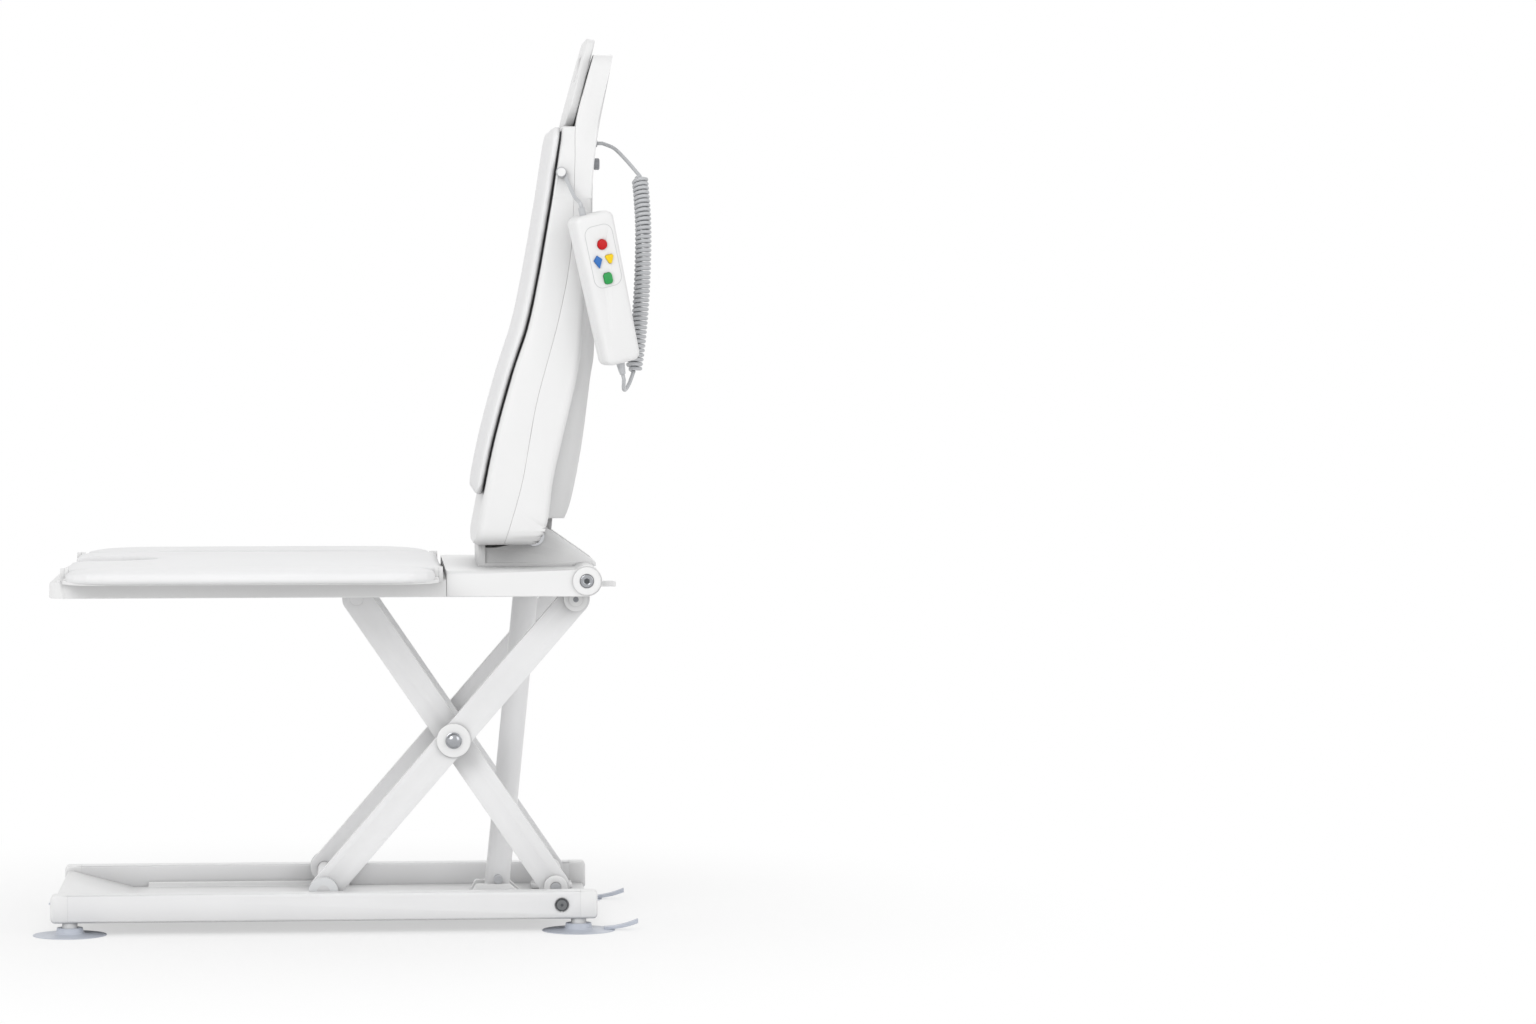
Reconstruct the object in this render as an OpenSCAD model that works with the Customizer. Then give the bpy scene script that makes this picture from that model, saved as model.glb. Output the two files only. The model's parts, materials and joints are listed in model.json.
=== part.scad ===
// Bath lift: a seat on a scissor frame with a reclining back, side flaps and a corded handset.
// Millimetres. +X points to the rear, -Y is the user's left, +Z is up. The origin is on the floor,
// under the middle of the base rails. The lift is drawn raised, with its back upright.

/* [Base] */
// Length of the base rails
base_l = 638; // [600:1:680]
// Width over the base rails
base_w = 340; // [334:1:364]
// Width of a base rail
rail_w = 24; // [18:1:24]
// Height of a base rail
rail_h = 33; // [30:0.5:33.5]
// Height of the rails above the floor
foot_h = 15; // [12:0.5:20]
// Length of a rail end cap
cap_l = 20; // [14:1:24]
// Thickness of the floor pan
pan_t = 4; // [3:0.5:5]
// Length of the ramp at the front of the pan
ramp_l = 84; // [50:1:100]
// Radius of a suction cup
cup_r = 43; // [36:1:48]
// Distance of a cup from the end of its rail
cup_inset = 22; // [18:1:40]

/* [Scissor] */
// Height of the lower pivots above the underside of the rails
pivot_rise = 31; // [31:0.5:34]
// Height from the lower to the upper pivots when raised
lift_rise = 343; // [320:1:360]
// Rear lower pivot, from the middle of the base
rear_low_x = 272; // [262:1:280]
// Front lower pivot
front_low_x = -2; // [-20:1:10]
// Front upper pivot
front_up_x = 38; // [25:1:50]
// Rear upper pivot
rear_up_x = 295; // [285:1:298]
// Width of an arm
arm_w = 34; // [28:1:35]
// Thickness of an arm
arm_t = 16; // [12:0.5:16]
// Width of the lower glides, between an outer arm and its rail
glide_w = 12; // [10:0.5:14]
// Room between an inner and an outer arm
arm_gap = 10; // [8:0.5:10]
// Radius of the pivot pins
pin_r = 6; // [5:0.25:7]
// Radius of the cross tubes
cross_r = 8; // [6:0.5:9]
// Radius of the lower glides
glide_r = 17.5; // [14:0.5:18]

/* [Seat] */
// Front edge of the seat
seat_front = -318; // [-340:1:-310]
// Where the seat pan meets the rear housing
seat_split = 142; // [138:1:150]
// Width of the seat
seat_w = 375; // [368:1:400]
// Wall of the seat skirt
skirt_t = 5; // [4:0.5:6]
// Depth of the hollow under the seat
skirt_h = 16; // [16:0.5:19]
// Thickness of the seat deck
deck_t = 4; // [3:0.5:6]
// Height of the rear housing
housing_h = 31; // [29:0.5:35]
// Radius of the rounded rear end
boss_r = 18; // [17:0.5:19]
// Middle of the rounded rear end, from the middle of the base
boss_x = 306; // [303:1:311]

/* [Pads and flaps] */
// Thickness of the seat pad
pad_t = 19; // [15:0.5:22]
// Distance of the seat pad from the side of the seat
pad_margin = 9.5; // [9:0.5:20]
// Corner radius of the pads
pad_corner = 18; // [15:1:40]
// Rise of the pads in the middle
pad_crown = 2; // [0:0.5:4]
// Width of the front cut-out
cut_w = 120; // [60:1:140]
// Depth of the front cut-out
cut_d = 100; // [70:1:130]
// Width of a side flap
flap_w = 105; // [70:1:140]
// Thickness of a flap panel
flap_panel_t = 4; // [3:0.5:5]
// Radius of a flap hinge pin
flap_pin_r = 3; // [2:0.25:3.5]

/* [Backrest] */
// Recline hinge, from the middle of the base
hinge_x = 248; // [242:1:252]
// Height of the recline hinge above the underside of the seat
hinge_rise = 67; // [65:0.5:71]
// Half width of the backrest
back_half = 148; // [138:1:148]
// Half width of the top of the backrest
back_top_half = 105; // [95:1:115]
// Wall of the backrest shells
back_wall = 3; // [2:0.25:3.5]
// Thickness of the back pad
back_pad_t = 14; // [10:0.5:18]
// Half width of the back pad
back_pad_half = 140; // [120:1:145]
// Thickness of the handle plate
handle_t = 10; // [8:0.5:10]
// Height of the handle plate
handle_h = 108; // [100:1:112]
// Half width of the foot of the handle plate
handle_low_half = 118; // [105:1:125]
// Half width of the top of the handle plate
handle_top_half = 80; // [75:1:95]
// Lean of the handle plate
handle_lean = 15; // [12:0.5:16]
// Width of the hand slot
slot_w = 110; // [90:1:120]
// Height of the hand slot
slot_h = 30; // [26:1:36]

/* [Drive] */
// Lean of the thrust tube
tube_lean = 5.7; // [5.2:0.1:6]
// Outside radius of the thrust tube
tube_r = 15; // [12:0.25:15]
// Wall of the thrust tube
tube_wall = 3; // [2:0.25:4]
// Radius of the spindle
spindle_r = 6; // [4:0.25:7]
// Radius of the motor
motor_r = 15; // [12:0.5:15]

/* [Handset] */
// Length of the handset
set_l = 178; // [160:1:185]
// Width of the handset at its top
set_w = 50; // [44:1:54]
// Thickness of the handset
set_t = 30; // [26:0.5:32]
// Wall of the handset case
set_wall = 2.2; // [1.6:0.1:2.6]
// Height of the buttons above the case
button_out = 1.8; // [1.6:0.1:2.4]
// Radius of the round button
button_r = 6; // [5:0.25:7]

/* [Cord] */
// Diameter of the cord
cord_d = 4.6; // [4:0.1:4.6]
// Radius of the curls, to the middle of the cord
curl_r = 7.6; // [7:0.1:8]
// Number of curls
curls = 44; // [30:1:44]

/* [Hidden] */
$fn = 48;
white = [0.95, 0.95, 0.95];
soft_white = [0.92, 0.92, 0.93];
grey = [0.55, 0.57, 0.6];
steel = [0.75, 0.76, 0.78];

// Clearances
run = 0.05;
seat_gap = 0.3;
side_gap = 0.5;

// Heights of the base and the scissor
rail_top = foot_h + rail_h;
pan_z = foot_h + 3;
pan_top = pan_z + pan_t;
low_z = foot_h + pivot_rise;
up_z = low_z + lift_rise;
rear_low = [rear_low_x, low_z];
front_low = [front_low_x, low_z];
front_up = [front_up_x, up_z];
rear_up = [rear_up_x, up_z];
run_a = rear_low_x - front_up_x;
run_b = rear_up_x - front_low_x;
cross_at = (rear_low_x - front_low_x) / (run_a + run_b);
crossing = [rear_low_x - run_a * cross_at, low_z + lift_rise * cross_at];
rail_in = base_w / 2 - rail_w;
arm_face = rail_in - glide_w;
arm_out = arm_face - arm_t;
arm_mid = arm_out - arm_gap;
arm_in = arm_mid - arm_t;

// Heights of the seat
skirt_z = up_z + 6;
deck_under = skirt_z + skirt_h;
deck_top = deck_under + deck_t;
housing_top = skirt_z + housing_h;
boss = [boss_x, skirt_z + boss_r];
seat_half = seat_w / 2;
pad_z = deck_top + seat_gap;
upper_glide_r = 14;
track_gap = 3.4;
lug_r = 14;
lug_t = 8.5;
lever_y = 60;
lever_axis = [boss[0] + 1, skirt_z + 8];
lever_l = 39;
lever_pin_r = 2;
pad_half = seat_half - pad_margin;
pad_ring = 20;
pad_draw = 0.08;
pad_front = seat_front + 18;
pad_rear = seat_split - 4;

// Flap hinge
ear_t = 4.7;
flap_axis_y = seat_half + 2.5;
flap_axis_z = deck_top + 10;
flap_front = seat_front + 19;
flap_rear = seat_split - 9;
flap_round = 6;
flap_inset = 6;
flap_lip = 1.5;
flap_corner = 48;

// Backrest, in millimetres from the recline hinge: front face, seam, rear face at the sides and rear
// face in the middle
hinge_z = skirt_z + hinge_rise;
back_low = -9;
front_line = spline([[-72, -9], [-50, 104], [-26, 193], [-5, 259], [18, 381], [33, 483]], 6);
seam_line = spline([[-37, -9], [-16, 64], [1, 157], [28, 259], [42, 338], [47, 438], [50, 493], [71.5, 569]], 6);
rear_line = spline([[2, -9], [14, 18], [21, 70], [36, 135], [50, 196], [57, 259], [70, 442], [92, 559], [93, 569]], 6);
bulge_line = spline([[27, 5], [42, 35], [56, 102], [67, 185], [72, 226], [71, 330], [72, 442], [92, 559], [93, 569]], 6);
back_top = 569;
front_top = 483;
seam_end = [lookup(front_top, swap(seam_line)), front_top];
bulge_half = 80;
bulge_low = 5;
back_reach = 150;
taper_from = 400;
notch_half = 100;
notch_x = -48;
notch_top = 20;
ped_half = 96;
ped_front = -66;
ped_wall = 8;
ped_rear = boss_x + 15;
cheek_in = 36;
cheek_out = 92;
cheek_r = 16;
yoke_half = 34;
yoke_deep = 22;
yoke_low = -16;
yoke_high = 45;
hinge_pin_r = 8;
slot_z = handle_h - 36;
hand_low = front_top + (slot_z - slot_h / 2) * cos(handle_lean);
rib_end = notch_top * tan(tube_lean) - yoke_deep / cos(tube_lean) - seat_gap;
bush_r = tube_r + 5;
back_pad_gap = 0.6;
hook = [30.5, 428.7];
hook_r = 3;
hook_y = back_half - 8;

// Drive
foot_z = low_z;
foot_d = (hinge_z - foot_z) / cos(tube_lean);
foot_x = hinge_x - foot_d * sin(tube_lean);
foot_pin_r = 5;
tube_top = 57;
gear_z = 404;
gear_h = 18;
gear_half = 26;
motor_lean = 9.3;
motor_l = 50;
gear_rear = lookup(gear_z, swap(rear_line)) - back_wall - 0.4;
gear_front = lookup(gear_z + gear_h, swap(front_line)) + back_wall + 0.6;

// Handset: its middle, tilt and turn
set_at = [hinge_x + 79.7, -179, hinge_z + 292.6];
set_tilt = -13;
set_turn = 22;
set_low_w = set_w - 6;
hook_at = [hinge_x + hook[0], -hook_y - 9, hinge_z + hook[1]];
collar_at = [-8, 0, set_l / 2];
collar_l = 9;
strap_r = 2.4;
strap_eye_t = 5.5;
board_front = -set_t / 2 + set_wall + 4.6;
board_t = 1.6;
flange = 0.7;
relief_l = 14;
// Stop, up, down and return buttons, across and up the face
button_at = [[1.5, 52], [-8, 33.5], [7, 33], [0, 12]];

// Cord: where it leaves the back, then points of its leads and the middle line of its curls, chosen by
// hand and measured from the recline hinge
gland = [77, -60, 465];
gland_r = 4.5;
gland_l = 14;
stud = [lookup(441, swap(bulge_line)), -40, 441];
stud_r = 4;
lead_out = [[83, -60, 465], [97, -63, 459], [109, -69, 447], [119, -77, 435]];
coil_line = [[126, -85, 426], [129, -104, 368], [127, -116, 298], [122, -124, 238], [116, -128, 194]];
lead_in = [[111, -133, 181], [106, -143, 174], [103, -155, 175]];

// Curves and points
function unit(v) = v / norm(v);
function swap(line) = [for (p = line) [p[1], p[0]]];
function between(a, b, c, d, t) = 0.5 * (2 * b + (c - a) * t + (2 * a - 5 * b + 4 * c - d) * t * t
    + (3 * b - a - 3 * c + d) * t * t * t);
function spline(p, n) = concat([for (i = [0:len(p) - 2]) for (j = [0:n - 1])
    between(p[max(i - 1, 0)], p[i], p[i + 1], p[min(i + 2, len(p) - 1)], j / n)], [p[len(p) - 1]]);
function reverse(p) = [for (i = [len(p) - 1:-1:0]) p[i]];
function shifted(p, d) = [for (q = p) [q[0] + d, q[1]]];
function part_of(p, low, high) = [for (q = p) if (q[1] >= low && q[1] <= high) q];
function rounded(p, radius, n = 6) = [for (i = [0:len(p) - 1]) let (
    r = is_list(radius) ? radius[i] : radius,
    b = p[i],
    u = unit(p[(i + len(p) - 1) % len(p)] - b),
    v = unit(p[(i + 1) % len(p)] - b),
    half = acos(u * v) / 2,
    o = b + unit(u + v) * r / sin(half),
    s = b + u * r / tan(half) - o,
    e = b + v * r / tan(half) - o)
    for (k = [0:n]) o + r * unit(s * (1 - k / n) + e * k / n)];
function set_point(p) = let (
    x = p[0] * cos(set_tilt) + p[2] * sin(set_tilt),
    z = p[2] * cos(set_tilt) - p[0] * sin(set_tilt))
    set_at + [x * cos(set_turn) - p[1] * sin(set_turn), x * sin(set_turn) + p[1] * cos(set_turn), z];
function power(v, e) = sign(v) * pow(abs(v), e);

// Placing
module both_sides() {
    children();
    mirror([0, 1, 0]) children();
}
// A plate of a shape in X and Z, from y_in to y_in + t on the left side
module slab(y_in, t) {
    translate([0, -y_in, 0]) rotate([90, 0, 0]) linear_extrude(t) children();
}
module pin_y(p, y_in, y_out, r) {
    slab(y_in, y_out - y_in) translate(p) circle(r);
}
// A bar with round ends
function half_circle(p, r, a) = [for (k = [0:16]) p + r * [cos(a + k * 180 / 16), sin(a + k * 180 / 16)]];
module bar2d(p, q, w) {
    a = atan2(q[1] - p[1], q[0] - p[0]);
    polygon(concat(half_circle(p, w / 2, a + 90), half_circle(q, w / 2, a - 90)));
}
module box(low, high) {
    translate(low) cube(high - low);
}
module back_place() {
    translate([hinge_x, 0, hinge_z]) children();
}
module tube_place() {
    back_place() rotate([0, tube_lean, 0]) children();
}
module set_place() {
    translate(set_at) rotate([0, set_tilt, set_turn]) children();
}
// A closed tube or pad through rings of points
module skin(rings) {
    n = len(rings[0]);
    last = len(rings) - 1;
    sides = [for (i = [0:last - 1]) for (j = [0:n - 1]) let (a = i * n + j, b = i * n + (j + 1) % n)
        each [[a, b + n, b], [a, a + n, b + n]]];
    start = [for (j = [1:n - 2]) [0, j, j + 1]];
    end = [for (j = [1:n - 2]) [last * n, last * n + j + 1, last * n + j]];
    polyhedron(points = [for (r = rings) each r], faces = concat(sides, start, end));
}

// A round tube of diameter d along a line of points
function square_to(v, t) = unit(v - (v * t) * t);
module tube(p, d, sides) {
    last = len(p) - 1;
    way = [for (i = [0:last]) unit(p[min(i + 1, last)] - p[max(i - 1, 0)])];
    side = [for (i = 0, v = square_to([0, 1, 0], way[0]); i <= last; i = i + 1,
        v = i <= last ? square_to(v, way[i]) : v) v];
    skin([for (i = [0:last]) [for (k = [0:sides - 1]) let (a = 360 * k / sides)
        p[i] + d / 2 * (cos(a) * side[i] + sin(a) * cross(way[i], side[i]))]]);
}

// Base
module rail() {
    color(white) difference() {
        box([-base_l / 2 + cap_l, -base_w / 2, foot_h], [base_l / 2 - cap_l, -rail_in, rail_top]);
        pin_y([base_l / 2 - cap_l - 22, foot_h + rail_h / 2], base_w / 2 - 4, base_w / 2 + 1, 7 + run);
    }
}
module rail_left() {
    rail();
}
module rail_right() {
    mirror([0, 1, 0]) rail();
}
module end_cap_profile() {
    polygon(rounded([[base_l / 2 - cap_l, foot_h], [base_l / 2, foot_h], [base_l / 2, rail_top],
        [base_l / 2 - cap_l, rail_top]], 5));
    translate([base_l / 2 - cap_l, foot_h]) square([cap_l / 2, rail_h]);
}
module rail_end_caps() {
    color(white) both_sides() for (s = [0, 1]) mirror([s, 0, 0]) slab(rail_in, rail_w) end_cap_profile();
}
module rail_plugs() {
    color([0.3, 0.32, 0.35]) both_sides() difference() {
        pin_y([base_l / 2 - cap_l - 22, foot_h + rail_h / 2], base_w / 2 - 4, base_w / 2 + 1.5, 7);
        pin_y([base_l / 2 - cap_l - 22, foot_h + rail_h / 2], base_w / 2 - 1, base_w / 2 + 2, 3);
    }
}
module floor_pan() {
    color(white) {
        box([-base_l / 2 + 4, -rail_in, pan_z], [base_l / 2 - 4, rail_in, pan_top]);
        slab(-rail_in, 2 * rail_in) polygon([[-base_l / 2 + 4, pan_top], [-base_l / 2 + 4, rail_top - 6],
            [-base_l / 2 + 10, rail_top - 6], [-base_l / 2 + ramp_l, pan_top]]);
        both_sides() slab(arm_face + seat_gap, rail_in - arm_face - seat_gap)
            translate([front_low_x - 215, pan_top])
            square([245, low_z - glide_r - seat_gap - pan_top]);
    }
}
module at_cups() {
    both_sides() for (x = [-1, 1]) translate([x * (base_l / 2 - cup_inset), -base_w / 2 + rail_w / 2, 0])
        mirror([x < 0 ? 1 : 0, 0, 0]) children();
}
module suction_cups() {
    color([0.62, 0.66, 0.72]) at_cups() {
        rotate_extrude() polygon([[0, 3], [cup_r * 0.5, 2.2], [cup_r - 2, 0], [cup_r, 0], [cup_r, 1.2],
            [cup_r * 0.7, 4.5], [16, 8], [14, 9], [0, 9]]);
    }
    // Release tabs of the rear cups
    color([0.62, 0.66, 0.72]) both_sides()
        translate([base_l / 2 - cup_inset, -base_w / 2 + rail_w / 2, 0])
        box([cup_r - 12, -6, 2.5], [cup_r + 27, 6, 5]);
}
module cup_stems() {
    color(white) at_cups() {
        translate([0, 0, 9]) cylinder(h = foot_h - 9, r = 9);
    }
}
module rear_pivot_brackets() {
    color(white) both_sides() {
        box([rear_low_x - 22, -arm_mid - side_gap - 9, pan_top],
            [rear_low_x + 28, -arm_in + side_gap + 9, low_z - arm_w / 2 - 1]);
        for (y = [arm_in - side_gap - 9, arm_mid + side_gap]) slab(y, 9) difference() {
            union() {
                translate([rear_low_x - 14, pan_top]) square([28, low_z - pan_top]);
                translate(rear_low) circle(14);
            }
            translate(rear_low) circle(pin_r + run);
        }
    }
}
module rear_pivot_pins() {
    color(steel) both_sides() pin_y(rear_low, arm_in - side_gap - 9.5, arm_mid + side_gap + 8.6, pin_r);
}
module foot_cradle() {
    top = foot_z - foot_pin_r - seat_gap;
    color(white) {
        box([foot_x - 38, -31, pan_top], [foot_x + 38, 31, pan_top + 5]);
        both_sides() slab(tube_r + 4, 12) polygon(rounded([[foot_x - 38, pan_top], [foot_x + 36, pan_top],
            [foot_x + 14, top], [foot_x - 26, top]], 2));
    }
}

// Scissor
module arm_inner_left() {
    color(white) slab(arm_in, arm_t) difference() {
        bar2d(rear_low, front_up, arm_w);
        translate(rear_low) circle(pin_r + run);
        translate(crossing) circle(pin_r + run);
        translate(front_up) circle(cross_r + run);
    }
}
module arm_inner_right() {
    mirror([0, 1, 0]) arm_inner_left();
}
module arm_outer_left() {
    color(white) slab(arm_out, arm_t) difference() {
        bar2d(front_low, rear_up, arm_w);
        translate(front_low) circle(cross_r + run);
        translate(crossing) circle(pin_r + run);
        translate(rear_up) circle(pin_r + run);
    }
}
module arm_outer_right() {
    mirror([0, 1, 0]) arm_outer_left();
}
module upper_cross_tube() {
    color(white) pin_y(front_up, -arm_mid, arm_mid, cross_r);
}
module front_cross_tube() {
    color(white) pin_y(front_low, -rail_in + 1, rail_in - 1, cross_r);
}
module ring_y(p, y_in, y_out, r, hole) {
    slab(y_in, y_out - y_in) translate(p) difference() {
        circle(r);
        circle(hole);
    }
}
module upper_glides() {
    color(soft_white) both_sides() ring_y(front_up, arm_in - 8, arm_in - seat_gap, upper_glide_r, cross_r + run);
}
module lower_glides() {
    color(soft_white) both_sides()
        ring_y(front_low, arm_face + seat_gap, rail_in - 1, glide_r, cross_r + run);
}
// A spacer between the arms and a disc on the outer arm, on each side
module centre_discs() {
    color(white) both_sides() {
        ring_y(crossing, arm_mid + seat_gap, arm_out - seat_gap, arm_w / 2 + 1, pin_r + run);
        ring_y(crossing, arm_face + seat_gap, arm_face + 4, arm_w / 2 + 3, pin_r + run);
    }
}
module centre_bolts() {
    color(steel) both_sides() {
        pin_y(crossing, arm_in - 6, arm_face + 4, pin_r);
        pin_y(crossing, arm_in - 6, arm_in - seat_gap, 10);
        translate([crossing[0], -arm_face - 4, crossing[1]]) rotate([90, 0, 0])
            rotate_extrude() polygon([[0, 0], [9, 0], [9, 1.5], [7.5, 4], [4.5, 5.6], [0, 6.2]]);
    }
}

// Seat
module seat_plan(inset) {
    r = max(20 - inset, 4);
    polygon(rounded([[seat_front + inset, -seat_half + inset], [seat_split + 40, -seat_half + inset],
        [seat_split + 40, seat_half - inset], [seat_front + inset, seat_half - inset]], r));
}
// An ear round the flap hinge, with a foot that reaches in by inner and down to low
module flap_ear(x, inner, low) {
    translate([x, 0, 0]) rotate([90, 0, 90]) linear_extrude(ear_t) difference() {
        union() {
            translate([-flap_axis_y, flap_axis_z]) circle(flap_round);
            translate([-flap_axis_y - flap_round, low]) square([flap_round + inner, flap_axis_z - low]);
        }
        translate([-flap_axis_y, flap_axis_z]) circle(flap_pin_r + run);
    }
}
module seat_pan() {
    color(white) {
        difference() {
            translate([0, 0, skirt_z]) linear_extrude(deck_top - skirt_z) seat_plan(0);
            translate([0, 0, skirt_z - 1]) linear_extrude(skirt_h + 1) seat_plan(skirt_t);
            box([seat_split - seat_gap, -seat_w, skirt_z - 2], [seat_split + 60, seat_w, deck_top + 2]);
        }
        both_sides() {
            flap_ear(flap_front - ear_t - seat_gap, flap_round, deck_top - deck_t / 2);
            flap_ear(flap_rear + seat_gap, flap_round, deck_top - deck_t / 2);
            box([front_up_x - 205, -arm_in + seat_gap, up_z + upper_glide_r + track_gap],
                [front_up_x + 24, -arm_in + 8, deck_under + 1]);
        }
    }
}
// Lugs under the housing carry the outer arms and the release lever
module housing_lugs() {
    both_sides() slab(arm_face + side_gap, lug_t) difference() {
        union() {
            translate(rear_up) circle(lug_r);
            translate([rear_up_x - lug_r, up_z]) square([2 * lug_r, deck_top + 1 - up_z]);
        }
        translate(rear_up) circle(pin_r + run);
    }
    for (y = [lever_y - 14, lever_y + 10.5]) slab(y, 3.5) difference() {
        translate(lever_axis - [5, 5]) square([10, deck_top - lever_axis[1] + 6]);
        translate(lever_axis) circle(lever_pin_r + run);
    }
}
module rear_housing() {
    color(white) {
        difference() {
            slab(-seat_half, seat_w) {
                translate([seat_split, skirt_z]) square([boss[0] - seat_split, housing_h]);
                translate(boss) circle(boss_r);
            }
            box([seat_split - 1, -seat_half + skirt_t, skirt_z - 1],
                [boss[0] + 8, seat_half - skirt_t, deck_top]);
            box([hinge_x - 64, -tube_r - 5, skirt_z], [hinge_x + 16, tube_r + 5, housing_top + 1]);
            box([boss[0] + 5, -lever_y - 11, skirt_z - 1],
                [boss[0] + boss_r + 1, -lever_y + 11, lever_axis[1] + 8]);
            box([seat_split - 1, -ped_half - 1, housing_top],
                [boss[0] + boss_r + 1, ped_half + 1, housing_top + boss_r]);
        }
        housing_lugs();
    }
}
module seat_pivot_pins() {
    color(steel) both_sides() {
        pin_y(rear_up, arm_out, arm_face + side_gap + lug_t, pin_r);
        pin_y(rear_up, arm_face + side_gap + lug_t, arm_face + side_gap + lug_t + 1.8, pin_r + 2);
    }
}
module side_bosses() {
    color(white) both_sides() slab(seat_half, 3) difference() {
        translate(boss) circle(boss_r - 1.5);
        translate(boss) circle(8.2);
    }
}
module boss_bolts() {
    color(steel) both_sides() {
        pin_y(boss, seat_half, seat_half + 2.2, 8);
        pin_y(boss, seat_half + 2.2, seat_half + 3.4, 5);
    }
}
module lever_pin() {
    color(steel) pin_y(lever_axis, lever_y - 14, lever_y + 14, lever_pin_r);
}
module release_lever() {
    color(white) slab(lever_y - 10, 20) difference() {
        union() {
            translate(lever_axis) circle(5);
            translate(lever_axis - [0, 3]) square([lever_l, 6]);
        }
        translate(lever_axis) circle(lever_pin_r + run);
    }
}
module pedestal() {
    top = housing_top + 4;
    wall_x = hinge_x + ped_front + ped_wall - 1;
    color(white) {
        difference() {
            box([hinge_x + ped_front, -ped_half, housing_top], [ped_rear, ped_half, top]);
            box([hinge_x - 64, -tube_r - 5, housing_top - 1], [hinge_x + 16, tube_r + 5, top + 1]);
        }
        box([hinge_x + ped_front, -ped_half, housing_top],
            [hinge_x + ped_front + ped_wall, ped_half, hinge_z + back_low - 1]);
        both_sides() slab(cheek_in, cheek_out - cheek_in) difference() {
            union() {
                translate([hinge_x, hinge_z]) circle(cheek_r);
                polygon([[wall_x, top - 1], [wall_x, hinge_z - 14], [hinge_x - 46, hinge_z - 14],
                    [hinge_x - 14, hinge_z - 8],
                    [hinge_x, hinge_z], [hinge_x + 10.2, hinge_z + 12.3], [ped_rear, top], [ped_rear, top - 1]]);
            }
            translate([hinge_x, hinge_z]) circle(hinge_pin_r + run);
        }
    }
}

// Pads: rings across the pad, with rounded corners, a crown and drawn-in sides
function pad_steps(l, r, mids) = concat([for (a = [75, 50, 25]) [-l / 2 + r - r * sin(a), r - r * cos(a)]],
    [for (i = [0:mids]) [(i / mids - 0.5) * (l - 2 * r), 0]],
    [for (a = [25, 50, 75]) [l / 2 - r + r * sin(a), r - r * cos(a)]]);
function pad_cross(half, t, crown) = [for (i = [0:pad_ring - 1]) let (a = 360 * (i + 0.5) / pad_ring,
    y = power(cos(a), 0.22), z = power(sin(a), 0.55))
    [half * y, t / 2 + t / 2 * z + (z > 0 ? crown * (1 - y * y) : 0)]];
module pad(l, half, t, crown, corner) {
    skin([for (s = pad_steps(l, corner, 8)) let (c = crown * (1 - pow(2 * s[0] / l, 2)))
        [for (q = pad_cross(half - s[1], t - pad_draw * s[1], c)) [s[0], q[0], q[1]]]]);
}
module seat_pad() {
    color(soft_white) difference() {
        translate([(pad_front + pad_rear) / 2, 0, pad_z])
            pad(pad_rear - pad_front, pad_half, pad_t - pad_crown, pad_crown, pad_corner);
        translate([0, 0, pad_z - 1]) linear_extrude(pad_t + 2) {
            translate([pad_front - 1, -cut_w / 2]) square([cut_d - cut_w / 2 + 1, cut_w]);
            translate([pad_front + cut_d - cut_w / 2, 0]) circle(cut_w / 2);
        }
    }
}
module flap_panel_left() {
    out = -flap_axis_y - flap_w + 3 + flap_inset;
    color(white) {
        translate([0, 0, deck_top + seat_gap]) linear_extrude(flap_panel_t) polygon(rounded([
            [flap_front, out], [flap_rear, out], [flap_rear, flap_lip - flap_axis_y],
            [flap_front, flap_lip - flap_axis_y]], [flap_corner, flap_corner, 1, 1]));
        for (x = [flap_front, flap_rear - ear_t]) flap_ear(x, flap_lip, deck_top + seat_gap);
    }
}
module flap_panel_right() {
    mirror([0, 1, 0]) flap_panel_left();
}
module flap_pad_left() {
    l = flap_rear - flap_front - 2 * ear_t - 2 * seat_gap;
    color(soft_white) translate([(flap_front + flap_rear) / 2, -flap_axis_y - flap_w / 2 + 3,
        deck_top + 2 * seat_gap + flap_panel_t])
        pad(l, flap_w / 2, pad_t - flap_panel_t - seat_gap - pad_crown, pad_crown / 2, flap_corner);
}
module flap_pad_right() {
    mirror([0, 1, 0]) flap_pad_left();
}
module flap_pins() {
    color(steel) both_sides() for (x = [flap_front - ear_t - seat_gap, flap_rear - ear_t + 0.2])
        translate([x, -flap_axis_y, flap_axis_z]) rotate([0, 90, 0]) cylinder(h = 2 * ear_t, r = flap_pin_r);
}

// Backrest
module back_outline(inset) {
    w = back_half - inset;
    top = back_top_half - inset;
    polygon(rounded([[-w, back_low + inset], [w, back_low + inset], [w, taper_from], [top, back_top - inset],
        [-top, back_top - inset], [-w, taper_from]], 20 - inset));
}
module back_prism(inset) {
    translate([-back_reach, 0, 0]) rotate([90, 0, 90]) linear_extrude(2 * back_reach) back_outline(inset);
}
module back_solid(line_a, line_b, half) {
    intersection() {
        slab(-half, 2 * half) polygon(concat(line_a, reverse(line_b)));
        back_prism(0);
    }
}
// The dip in the top of the rear shell behind the hand slot
module hand_notch(grow) {
    box([0, -slot_w / 2 - grow, hand_low - grow], [back_reach, slot_w / 2 + grow, back_top + 1]);
}
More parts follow.
